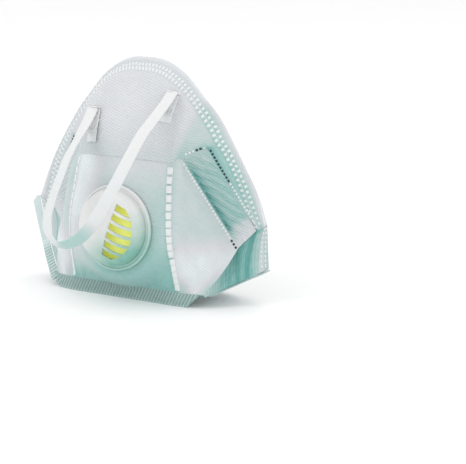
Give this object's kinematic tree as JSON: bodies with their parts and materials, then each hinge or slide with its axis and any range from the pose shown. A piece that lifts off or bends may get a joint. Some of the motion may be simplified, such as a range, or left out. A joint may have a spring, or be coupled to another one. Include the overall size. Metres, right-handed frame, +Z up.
{
  "type": "valved disposable dust mask",
  "caption": "Fold-flat non-woven dust mask standing open, with side pleats, dashed weld lines, a round exhalation valve with a louvred cap, and a loose elastic head strap.",
  "frame": {"origin": "middle of the foot of the lower seam, on the mask's centre line", "axes": "+Z up, -Y out of the mask's front (the valve side), X across the face"},
  "size_m": [0.1406, 0.085, 0.117],
  "materials": {
    "cover_web": "white spunbond non-woven web with a faint mint tint",
    "pleat_web": "the same web seen in the deep teal pleats and gussets",
    "filter_media": "melt-blown filter layer",
    "liner_web": "soft inner web",
    "seam_web": "hot-welded hem with fine hatch",
    "weld": "melted weld marks",
    "clip_metal": "soft bare strip",
    "foam": "soft closed-cell foam",
    "valve_plastic": "satin white moulding",
    "cap_plastic": "satin white moulding, slightly translucent",
    "flap_rubber": "thin yellow-green silicone",
    "strap_web": "white ribbed elastic band"
  },
  "bodies": {
    "shell": {"upper_cover": "cover_web", "upper_filter": "filter_media", "upper_liner": "liner_web", "front_cover": "cover_web", "front_filter": "filter_media", "front_liner": "liner_web", "chin_cover": "cover_web", "chin_filter": "filter_media", "chin_liner": "liner_web", "pleat_left_cover": "pleat_web", "pleat_left_filter": "filter_media", "pleat_left_liner": "liner_web", "pleat_right_cover": "pleat_web", "pleat_right_filter": "filter_media", "pleat_right_liner": "liner_web", "gusset_left_cover": "pleat_web", "gusset_left_filter": "filter_media", "gusset_left_liner": "liner_web", "gusset_right_cover": "pleat_web", "gusset_right_filter": "filter_media", "gusset_right_liner": "liner_web", "lower_seam": "seam_web", "left_side_seam": "seam_web", "right_side_seam": "seam_web", "rim_weld_outer": "weld", "rim_weld_inner": "weld", "front_weld_left": "weld", "front_weld_right": "weld", "nose_clip": "clip_metal", "nose_foam": "foam", "valve_base": "valve_plastic", "valve_clamp_ring": "valve_plastic", "flap_clip": "valve_plastic", "valve_cap": "cap_plastic", "strap_patch_left": "strap_web", "strap_patch_right": "strap_web"},
    "flap": {"valve_flap": "flap_rubber"},
    "strap": {"head_strap": "strap_web"}
  },
  "joints": [
    {"name": "valve_flap_hinge", "type": "hinge", "parent": "shell", "child": "flap", "pos_m": [-0.0106, -0.01049, 0.03717], "axis": [0, -0.0698, -0.9976], "range_deg": [0, 7], "stiffness_Nm_per_rad": 0.00002},
    {"name": "head_strap_swing", "type": "hinge", "parent": "shell", "child": "strap", "pos_m": [0.00033, 0.00611, 0.09735], "axis": [-0.9643, -0.1333, -0.2287], "range_deg": [-5, 115]}
  ]
}
